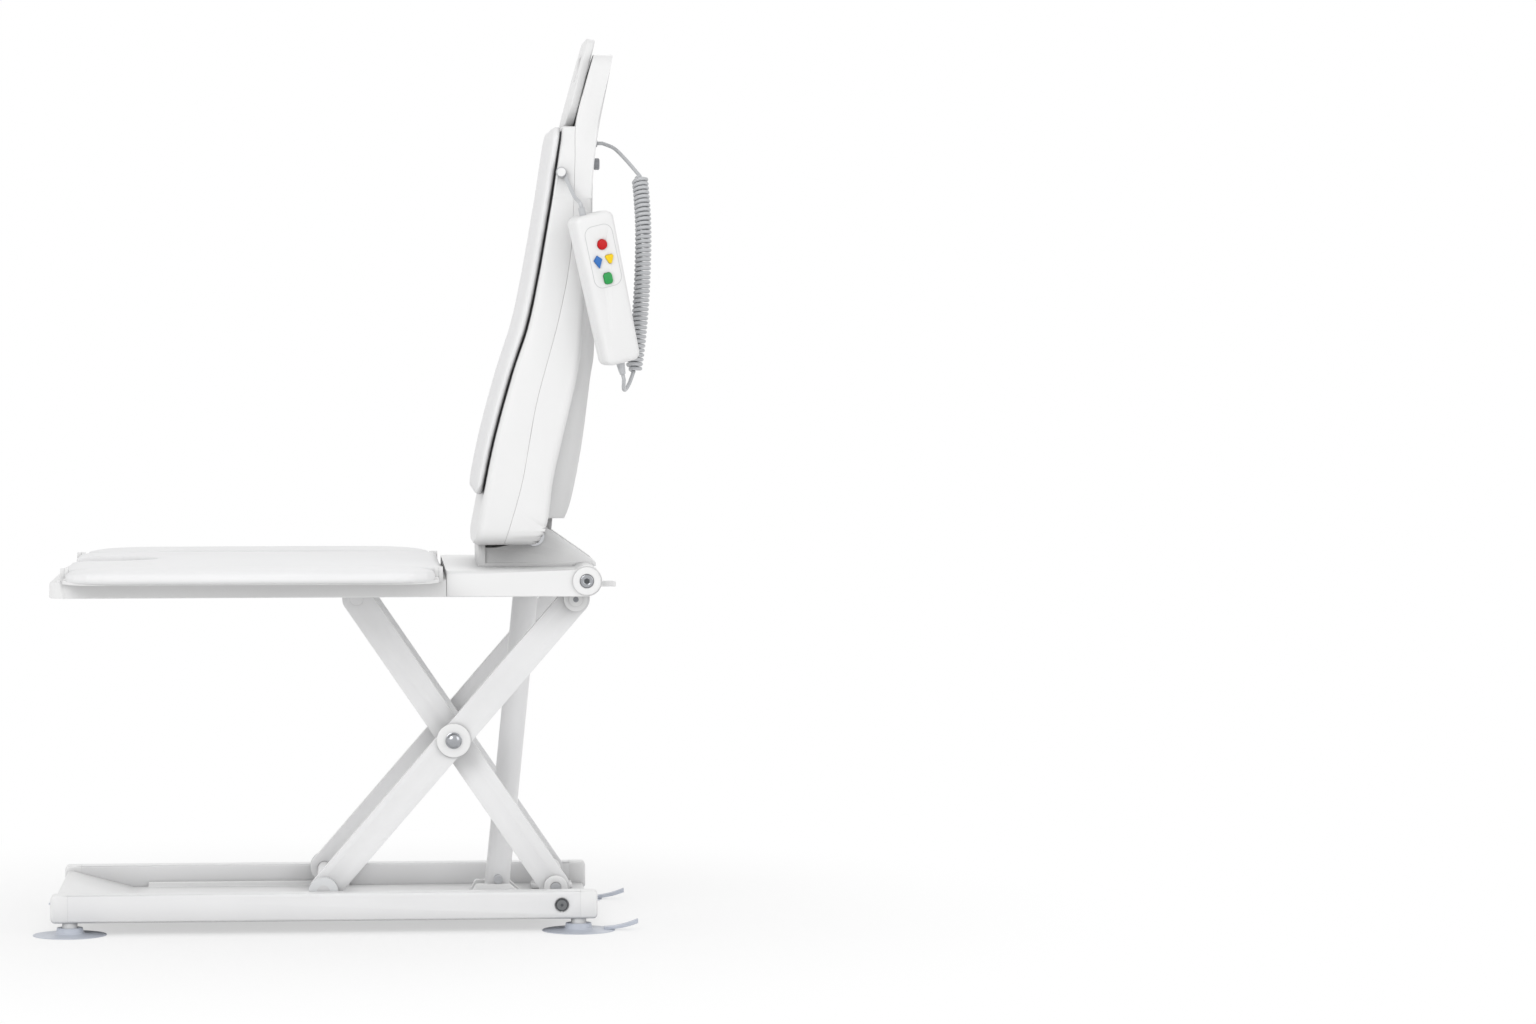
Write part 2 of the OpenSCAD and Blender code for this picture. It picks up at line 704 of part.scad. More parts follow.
// The room inside both shells
module back_hollow() {
    roof = front_top - back_wall;
    front = shifted(part_of(front_line, back_low, roof), back_wall);
    over = shifted(part_of(seam_line, front_top, back_top), back_wall);
    corners = [[lookup(roof, swap(front_line)) + back_wall, roof], [over[0][0], roof]];
    difference() {
        intersection() {
            union() {
                slab(-back_half, 2 * back_half)
                    polygon(concat(front, corners, over, reverse(shifted(rear_line, -back_wall))));
                slab(-bulge_half + back_wall, 2 * (bulge_half - back_wall))
                    polygon(concat(part_of(seam_line, bulge_low, back_top),
                        reverse(shifted(bulge_line, -back_wall))));
            }
            back_prism(back_wall);
        }
        hand_notch(back_wall);
    }
}
module back_notch() {
    box([notch_x, -notch_half, back_low - 1], [back_reach, notch_half, notch_top]);
}
module back_front_shell() {
    color(white) back_place() {
        difference() {
            back_solid(front_line, concat(part_of(seam_line, back_low, front_top), [seam_end]), back_half);
            back_hollow();
            back_notch();
        }
        both_sides() intersection() {
            slab(yoke_half - 14, 6) polygon(concat(front_line, [[back_reach, front_top], [back_reach, back_low]]));
            box([-back_reach, -yoke_half, notch_top], [rib_end, 0, yoke_high - 4]);
        }
        pin_y(hook, hook_y - 3, hook_y + 13, hook_r);
        pin_y(hook, hook_y + 12, hook_y + 14, hook_r + 2);
    }
}
module back_rear_shell() {
    color(white) back_place() difference() {
        union() {
            back_solid(seam_line, rear_line, back_half);
            back_solid(part_of(seam_line, bulge_low, back_top), bulge_line, bulge_half);
        }
        back_hollow();
        back_notch();
        hand_notch(0);
        translate(gland) rotate([0, 90, 0]) cylinder(h = 2 * gland_l, r = gland_r + run, center = true);
        translate(stud) rotate([0, 90, 0]) cylinder(h = 2 * gland_l, r = stud_r + run, center = true);
    }
}
module cord_gland() {
    color(grey) back_place() translate(gland - [gland_l, 0, 0]) rotate([0, 90, 0])
        cylinder(h = gland_l, r = gland_r);
}
module cord_stud() {
    color(grey) back_place() translate(stud) rotate([0, 90, 0]) {
        translate([0, 0, -8]) cylinder(h = 12, r = stud_r);
        translate([0, 0, 1.5]) cylinder(h = 7, r = 7);
    }
}
module back_pad() {
    low = 48;
    l = front_top - low;
    tab = swap(front_line);
    rings = [for (s = pad_steps(l, pad_corner, 16)) let (
        z = low + l / 2 + s[0],
        x = lookup(z, tab),
        t = unit([lookup(z + 6, tab) - lookup(z - 6, tab), 12]),
        c = pad_crown * (1 - pow(2 * s[0] / l, 2)))
        [for (q = pad_cross(back_pad_half - s[1], back_pad_t - pad_crown - pad_draw * s[1], c))
            [x - t[1] * (q[1] + back_pad_gap), q[0], z + t[0] * (q[1] + back_pad_gap)]]];
    color(soft_white) back_place() skin(rings);
}
module handle_plate() {
    base = [front_line[len(front_line) - 1][0] + 3.8, 0, front_top + handle_t * sin(handle_lean) + seat_gap];
    color(white) back_place() translate(base) rotate([0, handle_lean, 0]) rotate([90, 0, 90])
        linear_extrude(handle_t) difference() {
            polygon(rounded([[-handle_low_half, 0], [handle_low_half, 0], [handle_top_half, handle_h],
                [-handle_top_half, handle_h]], 24));
            translate([-slot_w / 2 + slot_h / 2, slot_z - slot_h / 2]) square([slot_w - slot_h, slot_h]);
            for (s = [-1, 1]) translate([s * (slot_w - slot_h) / 2, slot_z]) circle(slot_h / 2);
        }
}
module hinge_yoke() {
    color(grey) tube_place() difference() {
        box([-yoke_deep, -yoke_half, yoke_low], [yoke_deep, yoke_half, yoke_high]);
        translate([0, 0, yoke_low - 1]) cylinder(h = yoke_high - yoke_low + 2, r = bush_r + run);
        both_sides() pin_y([0, 0], bush_r + 2, yoke_half + 1, hinge_pin_r + run);
    }
}
module hinge_pins() {
    color(steel) back_place() both_sides() {
        pin_y([0, 0], bush_r + 2.5, cheek_out + 1, hinge_pin_r);
        pin_y([0, 0], cheek_out + 1, cheek_out + 4.5, hinge_pin_r + 4);
    }
}
module tube_bush() {
    color(soft_white) tube_place() translate([0, 0, yoke_low]) difference() {
        cylinder(h = yoke_high - yoke_low, r = bush_r);
        translate([0, 0, -1]) cylinder(h = yoke_high - yoke_low + 2, r = tube_r + run);
    }
}
module gearbox() {
    color(grey) back_place() box([gear_front, -gear_half, gear_z], [gear_rear, gear_half, gear_z + gear_h]);
}
module motor() {
    lift = motor_r * sin(motor_lean) + seat_gap;
    color(steel) back_place() translate([(gear_front + gear_rear) / 2, 0, gear_z + gear_h + lift])
        rotate([0, motor_lean, 0]) cylinder(h = motor_l, r = motor_r);
}
module spindle() {
    top = (gear_z - 0.6) / cos(tube_lean);
    color(steel) tube_place() translate([0, 0, 8]) cylinder(h = top - 8, r = spindle_r);
}

// Thrust tube
module thrust_tube() {
    color(white) tube_place() difference() {
        translate([0, 0, -foot_d - 12]) cylinder(h = foot_d + 12 + tube_top, r = tube_r);
        translate([0, 0, -foot_d + 20]) cylinder(h = foot_d + tube_top, r = tube_r - tube_wall);
        translate([0, 0, -foot_d]) rotate([90, 0, 0])
            cylinder(h = 4 * tube_r, r = foot_pin_r + run, center = true);
    }
}
module foot_pin() {
    color(steel) tube_place() translate([0, 0, -foot_d]) rotate([90, 0, 0])
        cylinder(h = 2 * tube_r + 30, r = foot_pin_r, center = true);
}
module drive_nut() {
    color([0.8, 0.7, 0.4]) tube_place() translate([0, 0, tube_top - 32]) difference() {
        cylinder(h = 30, r = tube_r - tube_wall - run);
        translate([0, 0, -1]) cylinder(h = 32, r = spindle_r + run);
    }
}

// Handset, drawn upright with its face towards -Y
module set_outline(inset) {
    top = set_w / 2 - inset;
    low = set_low_w / 2 - inset;
    end = set_l / 2 - inset;
    polygon(rounded([[-low, -end], [low, -end], [top, end], [-top, end]], 9 - inset));
}
module blue_shape(grow) {
    polygon([[0, -8 - grow], [5.2 + grow, 2], [0, 7 + grow], [-5.2 - grow, 2]]);
}
module yellow_shape(grow) {
    polygon(rounded([[0, -7.5 - 1.6 * grow], [6 + grow, 5.5 + grow], [-6 - grow, 5.5 + grow]], 2));
}
module green_shape(grow) {
    polygon(rounded([[-5.2 - grow, -6.5 - grow], [5.2 + grow, -6.5 - grow], [5.2 + grow, 6.5 + grow],
        [-5.2 - grow, 6.5 + grow]], 3.5));
}
module button_shape(i, grow) {
    translate(button_at[i]) {
        if (i == 0) circle(button_r + grow);
        if (i == 1) blue_shape(grow);
        if (i == 2) yellow_shape(grow);
        if (i == 3) green_shape(grow);
    }
}
module handset_front() {
    color(white) set_place() difference() {
        slab(0, set_t / 2) set_outline(0);
        slab(-1, set_t / 2 - set_wall + 1) set_outline(set_wall);
        for (i = [0:3]) slab(set_t / 2 - 5, 10) button_shape(i, seat_gap);
    }
}
module handset_rear() {
    color(white) set_place() difference() {
        slab(-set_t / 2, set_t / 2) set_outline(0);
        slab(-set_t / 2 + set_wall, set_t / 2) set_outline(set_wall);
    }
}
module handset_button(i, shade) {
    color(shade) set_place() {
        slab(set_t / 2 - set_wall - 2, set_wall + 2 + button_out) button_shape(i, 0);
        slab(set_t / 2 - set_wall - 2, 1.6) button_shape(i, flange);
    }
}
module stop_button() {
    handset_button(0, "red");
}
module blue_button() {
    handset_button(1, "royalblue");
}
module yellow_button() {
    handset_button(2, "gold");
}
module green_button() {
    handset_button(3, "limegreen");
}
module circuit_board() {
    half = set_low_w / 2 + 1 - set_wall - seat_gap;
    color("darkgreen") set_place() slab(-board_front - board_t, board_t)
        translate([-half, -20]) square([2 * half, 95]);
}
module battery() {
    half = set_low_w / 2 - set_wall - 1.5;
    color(grey) set_place() slab(-set_t / 2 + set_wall + seat_gap, set_t - 2 * set_wall - 12)
        translate([-half, -set_l / 2 + set_wall + 9]) square([2 * half, 58]);
}
module hang_strap() {
    route = [hook_at + [5.6, 2.5, -2.2], hook_at + [6, -1, -9], hook_at + [10, -10, -18], hook_at + [15, -23, -30],
        set_point(collar_at + [0, 0, collar_l + 5]), set_point(collar_at + [0, 0, collar_l - 2])];
    color(grey) {
        translate([0, hook_at[1] + strap_eye_t, 0]) slab(0, strap_eye_t)
            translate([hook_at[0], hook_at[2]]) difference() {
                circle(hook_r + 3.2);
                circle(hook_r + 2 * run);
            }
        tube(spline(route, 3), 2 * strap_r, 8);
        set_place() translate(collar_at) cylinder(h = collar_l, r = strap_r + 1.5);
    }
}
module cord_relief() {
    color(grey) set_place() translate([0, 0, -set_l / 2 - relief_l]) cylinder(h = relief_l, r1 = 3.4, r2 = 5.2);
}

// Curly cord: a straight lead, the curls and a lead into the handset, as one tube
axis_points = spline(coil_line, 10);
axis_run = [for (i = 0, s = 0; i < len(axis_points); i = i + 1,
    s = i < len(axis_points) ? s + norm(axis_points[i] - axis_points[i - 1]) : s) s];
coil_l = axis_run[len(axis_run) - 1];
axis_tables = [for (k = [0:2]) [for (i = [0:len(axis_points) - 1]) [axis_run[i], axis_points[i][k]]]];
function axis_at(s) = [for (k = [0:2]) lookup(s, axis_tables[k])];
function smooth(t) = t >= 1 ? 1 : t * t * (3 - 2 * t);
curl_rings = 8;
cord_sides = 6;
coil_points = [for (j = [0:curls * curl_rings]) let (
    s = coil_l * j / (curls * curl_rings),
    a = 360 * j / curl_rings,
    r = curl_r * smooth(min(j, curls * curl_rings - j) / curl_rings),
    t = unit(axis_at(s + 2) - axis_at(s - 2)),
    n = unit(cross(t, [0, 1, 0])),
    b = cross(t, n))
    axis_at(s) + r * (cos(a) * n + sin(a) * b)];
hinge_at = [hinge_x, 0, hinge_z];
lead_end = set_point([0, 0, -set_l / 2 - relief_l - seat_gap]) - hinge_at;
lead_near = set_point([0, 0, -set_l / 2 - relief_l - 1.5 * cord_d]) - hinge_at;
cord_points = concat([gland + [seat_gap, 0, 0]], spline(lead_out, 2), coil_points,
    spline(concat(lead_in, [lead_near]), 2), [lead_end]);
cord_last = len(cord_points) - 1;
least_gap = min([for (i = [0:cord_last - 5]) min([for (j = [i + 5:cord_last])
    norm(cord_points[i] - cord_points[j])])]) - cord_d;
cord_length = sum_steps(cord_points);
function sum_steps(p) = [for (i = 1, s = 0; i <= len(p); s = s + (i < len(p) ? norm(p[i] - p[i - 1]) : 0),
    i = i + 1) s][len(p) - 1];
module curly_cord() {
    echo(least_gap = least_gap, cord_length = cord_length);
    color(grey) back_place() tube(cord_points, cord_d, cord_sides);
}

rail_left();
rail_right();
floor_pan();
rail_end_caps();
rail_plugs();
suction_cups();
cup_stems();
rear_pivot_brackets();
rear_pivot_pins();
foot_cradle();
arm_inner_left();
arm_inner_right();
upper_cross_tube();
upper_glides();
arm_outer_left();
arm_outer_right();
front_cross_tube();
lower_glides();
centre_bolts();
centre_discs();
seat_pan();
rear_housing();
seat_pivot_pins();
side_bosses();
boss_bolts();
seat_pad();
pedestal();
lever_pin();
release_lever();
flap_panel_left();
flap_panel_right();
flap_pad_left();
flap_pad_right();
flap_pins();
back_front_shell();
back_rear_shell();
back_pad();
handle_plate();
hinge_yoke();
hinge_pins();
tube_bush();
gearbox();
motor();
spindle();
cord_gland();
cord_stud();
curly_cord();
thrust_tube();
foot_pin();
drive_nut();
handset_front();
handset_rear();
circuit_board();
battery();
hang_strap();
cord_relief();
stop_button();
blue_button();
yellow_button();
green_button();
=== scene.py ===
import json
import math

import bpy
from mathutils import Matrix, Vector

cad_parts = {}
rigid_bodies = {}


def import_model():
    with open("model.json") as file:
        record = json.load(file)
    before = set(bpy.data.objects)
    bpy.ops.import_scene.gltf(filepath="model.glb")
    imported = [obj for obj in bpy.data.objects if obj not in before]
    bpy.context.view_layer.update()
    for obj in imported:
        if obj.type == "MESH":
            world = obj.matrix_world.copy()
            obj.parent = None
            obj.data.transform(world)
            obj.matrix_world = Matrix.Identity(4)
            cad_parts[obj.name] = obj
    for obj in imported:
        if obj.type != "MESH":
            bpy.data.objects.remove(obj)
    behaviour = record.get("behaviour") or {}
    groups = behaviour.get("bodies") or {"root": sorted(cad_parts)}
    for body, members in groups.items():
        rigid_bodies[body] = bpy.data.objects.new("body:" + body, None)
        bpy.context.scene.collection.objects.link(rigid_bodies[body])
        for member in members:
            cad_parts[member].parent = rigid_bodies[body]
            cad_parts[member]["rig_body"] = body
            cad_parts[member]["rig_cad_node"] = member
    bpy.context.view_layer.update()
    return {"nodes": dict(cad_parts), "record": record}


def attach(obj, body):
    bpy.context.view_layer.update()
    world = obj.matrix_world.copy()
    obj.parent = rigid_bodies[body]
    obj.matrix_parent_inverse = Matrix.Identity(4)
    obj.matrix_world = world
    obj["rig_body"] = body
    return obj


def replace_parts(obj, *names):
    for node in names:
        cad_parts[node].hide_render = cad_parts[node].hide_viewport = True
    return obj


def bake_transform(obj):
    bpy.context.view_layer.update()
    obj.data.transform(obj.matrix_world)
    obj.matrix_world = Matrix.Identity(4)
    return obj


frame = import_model()
NODES = frame["nodes"]
BODY_OF = {node: body for body, nodes in frame["record"]["behaviour"]["bodies"].items() for node in nodes}
SLOT_OF = {part["node"]: part["material_slot"] for part in frame["record"]["subparts"]}
MM = 0.001

# Camera: the photograph is 1536 x 1024 pixels, with its horizon and vanishing point at these pixels
PHOTO_W, PHOTO_H = 1536, 1024
VANISH_X, HORIZON_Y = 350, 300
FOCAL_PX = 5128
SENSOR_MM = 36
EYE = Vector((0.031, -6.165, 0.741))

# Recline hinge, from which the cord is measured, and the points of the cord, in millimetres
HINGE = Vector((248, 0, 462))
GLAND_END = (77.3, -60, 465)
LEAD_OUT = [(83, -60, 465), (97, -63, 459), (109, -69, 447), (119, -77, 435)]
COIL_LINE = [(126, -85, 426), (129, -104, 368), (127, -116, 298), (122, -124, 238), (116, -128, 194)]
LEAD_IN = [(111, -133, 181), (106, -143, 174), (103, -155, 175)]
CORD_D, CURL_R, CURLS = 4.6, 7.6, 44
CURL_STEPS = 20

# Handset: its middle from the recline hinge, its tilt and turn, its size, and where the rim of its face begins
SET_MIDDLE = Vector((79.7, -179, 292.6))
SET_TILT, SET_TURN = -13, 22
SET_L, SET_T = 178, 30
SET_RIM_X, SET_RIM_Z = 20, 78
RELIEF_L = 14

# Line round the keys: its width, height and corner, its height on the handset, and its breadth and relief
KEYS_W, KEYS_H, KEYS_CORNER, KEYS_UP = 36, 73, 11, 38.5
KEYS_LINE, KEYS_RELIEF = 0.45, 0.35

# Pivots and faces that the small fittings sit on, in millimetres
CROSSING = (151.25, 222.99)
DISC_FACE = 138
BOSS = (306, 413)
SEAT_HALF = 187.5
SEAT_PIVOT = (295, 389)
SEAT_PIN_FACE = 144.8
PLUG = (277, 31.5)
PLUG_FACE = 171.5
CUP_X, CUP_Y, CUP_R = 297, 158, 43
TAB_L, TAB_W, TAB_T, TAB_RISE = 40, 12, 4, 8
CAP_X = 299
SEAT_FRONT, SEAT_REAR, SEAT_CORNER, DECK_TOP = -318, 141, 20, 415
FLAP_EARS, EAR_ROOM = (-301.7, 135.7), 8

# Pads: voxel, how far a pad starts inside its solid and how far it may swell, in millimetres, the pressure and frames
# of the cloth, and how far the pads of the flaps lap over their panels
PAD_VOXEL, PAD_SHRINK, PAD_SWELL = 3.2, 0.5, 0.9
PAD_PRESSURE, PAD_FRAMES = 1.5, 10
FLAP_LAP, FLAP_OUT, FLAP_LAP_FROM, FLAP_LAP_OVER = 0.3, 0.011, 10, 40

# Front face and seam of the back, from the recline hinge, its pad, and the reach of the rounding on its sides
FRONT_LINE = [(-72, -9), (-50, 104), (-26, 193), (-5, 259), (18, 381), (33, 483)]
SEAM_LINE = [(-37, -9), (-16, 64), (1, 157), (28, 259), (42, 338), (47, 438), (50, 493), (71.5, 569)]
BACK_PAD_LOW, BACK_PAD_HIGH, BACK_PAD_HALF = 48, 483, 140
# Painted shadow in the gap behind the back pad, a dark sheet: its inset from the pad's sides and its corner
GAP_SHADOW_INSET, GAP_SHADOW_CORNER = 11, 20
BACK_FLANK, BACK_FLANK_LOW = 84, 122
BACK_ROUND_LOW, BACK_ROUND_TOP = 40, 520
BACK_FADE_END, BACK_FADE_OVER, BACK_ROUND_LEAST = 409, 130, 0.35

# Rounding: the turn at which an edge counts as sharp and a surface as creased, in degrees, and the share at a seam
SHARP_TURN, CREASE_TURN = 30, 40
SEAM_SHARE = 0.1

# Finishes: size of the drift of tone, depth of the grain and reach of the shade in corners, in metres
DRIFT_SCALE, GRAIN_DEPTH, CORNER_REACH = 9, 0.0004, 0.04

# Lamps of the studio: place, size and power
LAMP_TARGET = (0.1, 0, 0.5)
LAMPS = {
    "key": ((-1.8, -3.6, 2.6), 2.2, 62),
    "fill": ((3.2, -2.6, 1.8), 2.4, 24),
    "back": ((0.6, 3.4, 3.0), 2.4, 20),
}


def deselect():
    bpy.ops.object.select_all(action="DESELECT")


def make_active(piece):
    deselect()
    piece.select_set(True)
    bpy.context.view_layer.objects.active = piece


def apply_modifier(piece, kind, **settings):
    """Add a modifier with these settings and apply it to the mesh."""
    make_active(piece)
    modifier = piece.modifiers.new(kind.lower(), kind)
    for key, value in settings.items():
        setattr(modifier, key, value)
    bpy.ops.object.modifier_apply(modifier=modifier.name)


def apply_place(piece):
    """Put the place of a piece into its mesh, so that the object sits at the origin."""
    make_active(piece)
    bpy.ops.object.transform_apply(location=True, rotation=True, scale=True)


def finish_piece(piece, body, material):
    """Give a piece its material, and let it ride on its body."""
    piece.data.materials.clear()
    piece.data.materials.append(material)
    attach(piece, body)
    return piece


def smooth_by_turn(piece, turn=CREASE_TURN):
    make_active(piece)
    bpy.ops.object.shade_smooth_by_angle(angle=math.radians(turn))


# Materials
def socket(shader, name, value):
    shader.inputs[name].default_value = value


def new_material(name):
    material = bpy.data.materials.new(name)
    material.use_nodes = True
    return material, material.node_tree.nodes, material.node_tree.links


def moulded(name, colour, rough, grain=1400, bump=0.06, drift=0.03, painted_shade=0.0, **constants):
    """Moulded plastic or coated metal: a fine grain, a slight drift of tone and an uneven gloss.

    The corner share is how strongly painted shade, from ambient occlusion, darkens the colour in corners and narrow
    places.
    """
    material, nodes, links = new_material(name)
    shader = nodes["Principled BSDF"]
    for key, value in constants.items():
        socket(shader, key.replace("_", " "), value)
    coords = nodes.new("ShaderNodeTexCoord")
    broad = nodes.new("ShaderNodeTexNoise")
    socket(broad, "Scale", DRIFT_SCALE)
    socket(broad, "Detail", 3)
    fine = nodes.new("ShaderNodeTexNoise")
    socket(fine, "Scale", grain)
    socket(fine, "Detail", 2)
    tone = nodes.new("ShaderNodeValToRGB")
    tone.color_ramp.elements[0].position = 0.3
    tone.color_ramp.elements[1].position = 0.7
    tone.color_ramp.elements[0].color = (*[c * (1 - drift) for c in colour], 1)
    tone.color_ramp.elements[1].color = (*colour, 1)
    gloss = nodes.new("ShaderNodeMapRange")
    socket(gloss, "To Min", rough - 0.05)
    socket(gloss, "To Max", rough + 0.06)
    relief = nodes.new("ShaderNodeBump")
    socket(relief, "Strength", bump)
    socket(relief, "Distance", GRAIN_DEPTH)
    for texture in (broad, fine):
        links.new(coords.outputs["Object"], texture.inputs["Vector"])
    links.new(broad.outputs["Fac"], tone.inputs["Fac"])
    links.new(tone.outputs["Color"], shader.inputs["Base Color"])
    # Painted shade: ambient occlusion darkens the base colour in corners and narrow places
    if painted_shade:
        corner_shade = nodes.new("ShaderNodeAmbientOcclusion")
        socket(corner_shade, "Distance", CORNER_REACH)
        mix = nodes.new("ShaderNodeMixRGB")
        socket(mix, "Fac", painted_shade)
        links.new(tone.outputs["Color"], corner_shade.inputs["Color"])
        links.new(tone.outputs["Color"], mix.inputs["Color1"])
        links.new(corner_shade.outputs["Color"], mix.inputs["Color2"])
        links.new(mix.outputs["Color"], shader.inputs["Base Color"])
    links.new(broad.outputs["Fac"], gloss.inputs["Value"])
    links.new(gloss.outputs["Result"], shader.inputs["Roughness"])
    links.new(fine.outputs["Fac"], relief.inputs["Height"])
    links.new(relief.outputs["Normal"], shader.inputs["Normal"])
    return material


def brushed(name, colour, rough, along):
    """Metal with fine lines drawn across the given axis."""
    material = moulded(name, colour, rough, bump=0.05, drift=0.08, Metallic=1.0)
    nodes, links = material.node_tree.nodes, material.node_tree.links
    stretch = nodes.new("ShaderNodeMapping")
    stretch.inputs["Scale"].default_value = [0.05 if axis == along else 1 for axis in range(3)]
    coords = nodes["Texture Coordinate"]
    links.new(coords.outputs["Object"], stretch.inputs["Vector"])
    for node in nodes:
        if node.type == "TEX_NOISE":
            links.new(stretch.outputs["Vector"], node.inputs["Vector"])
    return material


# The white finishes carry painted shade, which darkens their colour in corners and narrow places
FINISH = {
    "white_plastic": moulded("satin white plastic", (0.83, 0.83, 0.83), 0.36, painted_shade=0.42,
                             Specular_IOR_Level=0.3),
    "white_metal": moulded("white coated metal", (0.81, 0.81, 0.815), 0.3, grain=900, bump=0.1, painted_shade=0.42,
                           Specular_IOR_Level=0.35),
    "soft_white": moulded("white foam skin", (0.84, 0.84, 0.845), 0.5, grain=2200, bump=0.16, painted_shade=0.4,
                          Specular_IOR_Level=0.2),
    "glide_plastic": moulded("pale bearing plastic", (0.7, 0.71, 0.72), 0.4),
    "steel": brushed("brushed steel", (0.62, 0.63, 0.65), 0.3, 1),
    "chrome": moulded("bright bolt metal", (0.4, 0.41, 0.43), 0.2, bump=0.02, Metallic=1.0),
    "brass": moulded("brass", (0.68, 0.5, 0.22), 0.3, Metallic=1.0),
    "cup_rubber": moulded("grey-blue cup rubber", (0.6, 0.635, 0.71), 0.4, bump=0.1, Transmission_Weight=0.2),
    "plug_grey": moulded("grey plug face", (0.16, 0.165, 0.17), 0.4),
    "keypad_grey": moulded("pale keypad line", (0.55, 0.555, 0.56), 0.45),
    "dark_plug": moulded("dark grey plastic", (0.06, 0.065, 0.07), 0.45),
    "grey_plastic": moulded("grey plastic", (0.3, 0.31, 0.33), 0.45, bump=0.12),
    "cord_grey": moulded("grey cord sheath", (0.52, 0.53, 0.545), 0.36, grain=2500, bump=0.1),
    "board": moulded("green board", (0.02, 0.12, 0.05), 0.4),
    "red": moulded("red key", (0.55, 0.003, 0.006), 0.3, Specular_IOR_Level=0.25),
    "blue": moulded("blue key", (0.04, 0.17, 0.5), 0.3, Specular_IOR_Level=0.25),
    "yellow": moulded("yellow key", (0.9, 0.62, 0.008), 0.3, Specular_IOR_Level=0.25),
    "green": moulded("green key", (0.03, 0.34, 0.085), 0.3, Specular_IOR_Level=0.25),
}


def add_camera():
    """The camera at the viewing angle of the photograph."""
    camera = bpy.data.objects.new("photo_camera", bpy.data.cameras.new("photo_camera"))
    bpy.context.scene.collection.objects.link(camera)
    camera.data.sensor_width = SENSOR_MM
    camera.data.lens = FOCAL_PX * SENSOR_MM / PHOTO_W
    camera.data.clip_end = 50
    yaw = math.atan((PHOTO_W / 2 - VANISH_X) / FOCAL_PX)
    pitch = math.atan((PHOTO_H / 2 - HORIZON_Y) / FOCAL_PX)
    camera.rotation_euler = (math.pi / 2 - pitch, 0, -yaw)
    camera.location = EYE
    bpy.context.scene.camera = camera


def curve_through(points, count):
    """Points of a smooth curve through the given points, count to a stretch."""
    out = []
    last = len(points) - 1
    for i in range(last):
        a, b, c, d = (points[max(i - 1, 0)], points[i], points[i + 1], points[min(i + 2, last)])
        for j in range(count):
            t = j / count
            out.append(0.5 * (2 * b + (c - a) * t + (2 * a - 5 * b + 4 * c - d) * t * t
                              + (3 * b - a - 3 * c + d) * t ** 3))
    return out + [points[last]]


def handset_turn(size):
    """The turn of the handset as a matrix of this size."""
    return Matrix.Rotation(math.radians(SET_TURN), size, "Z") @ Matrix.Rotation(math.radians(SET_TILT), size, "Y")


def in_handset(point):
    """A point of the upright handset, seen from the recline hinge."""
    return SET_MIDDLE + handset_turn(3) @ Vector(point)


def coil_points():
    """The curls of the cord, which open and close over one turn at each end."""
    axis = curve_through([Vector(p) for p in COIL_LINE], 10)
    reach = [0.0]
    for a, b in zip(axis, axis[1:]):
        reach.append(reach[-1] + (b - a).length)

    def at(s):
        s = min(max(s, 0), reach[-1])
        i = max(k for k in range(len(reach) - 1) if reach[k] <= s)
        return axis[i].lerp(axis[i + 1], (s - reach[i]) / (reach[i + 1] - reach[i]))

    out = []
    total = CURLS * CURL_STEPS
    for j in range(total + 1):
        s = reach[-1] * j / total
        ease = min(1, min(j, total - j) / CURL_STEPS)
        radius = CURL_R * ease * ease * (3 - 2 * ease)
        along = (at(s + 2) - at(s - 2)).normalized()
        side = along.cross(Vector((0, 1, 0))).normalized()
        turn = math.tau * j / CURL_STEPS
        out.append(at(s) + radius * (math.cos(turn) * side + math.sin(turn) * along.cross(side)))
    return out


def add_cord():
    """The curly cord from the gland on the back to the handset, bending between the two."""
    low = -SET_L / 2 - RELIEF_L
    near, end = in_handset((0, 0, low - 1.5 * CORD_D)), in_handset((0, 0, low - 0.3))
    path = [Vector(GLAND_END)] + curve_through([Vector(p) for p in LEAD_OUT], 4) + coil_points()
    path += curve_through([Vector(p) for p in LEAD_IN] + [near], 4) + [end]
    path = [(HINGE + p) * MM for p in path]
    curve = bpy.data.curves.new("curly_cord_sheath", "CURVE")
    curve.dimensions = "3D"
    curve.bevel_depth = CORD_D * MM / 2
    curve.bevel_resolution = 3
    curve.use_fill_caps = True
    line = curve.splines.new("POLY")
    line.points.add(len(path) - 1)
    for point, place in zip(line.points, path):
        point.co = (*place, 1)
    cord = bpy.data.objects.new("curly_cord_sheath", curve)
    bpy.context.scene.collection.objects.link(cord)
    make_active(cord)
    bpy.ops.object.convert(target="MESH")
    cord = bpy.context.view_layer.objects.active
    bpy.ops.object.shade_smooth()
    cord.data.materials.append(FINISH["cord_grey"])
    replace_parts(cord, "curly_cord")
    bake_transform(cord)


def copy_of(node, suffix, flat=0.4):
    """A new piece with the merged mesh of a CAD node, its faces joined where they turn by less than flat degrees."""
    piece = NODES[node].copy()
    piece.data = NODES[node].data.copy()
    piece.name = node + suffix
    piece.parent = None
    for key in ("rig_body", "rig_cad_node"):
        del piece[key]
    bpy.context.scene.collection.objects.link(piece)
    make_active(piece)
    bpy.ops.object.mode_set(mode="EDIT")
    bpy.ops.mesh.select_all(action="SELECT")
    bpy.ops.mesh.remove_doubles(threshold=2e-6)
    bpy.ops.mesh.dissolve_limited(angle_limit=math.radians(flat))
    bpy.ops.object.mode_set(mode="OBJECT")
    return piece


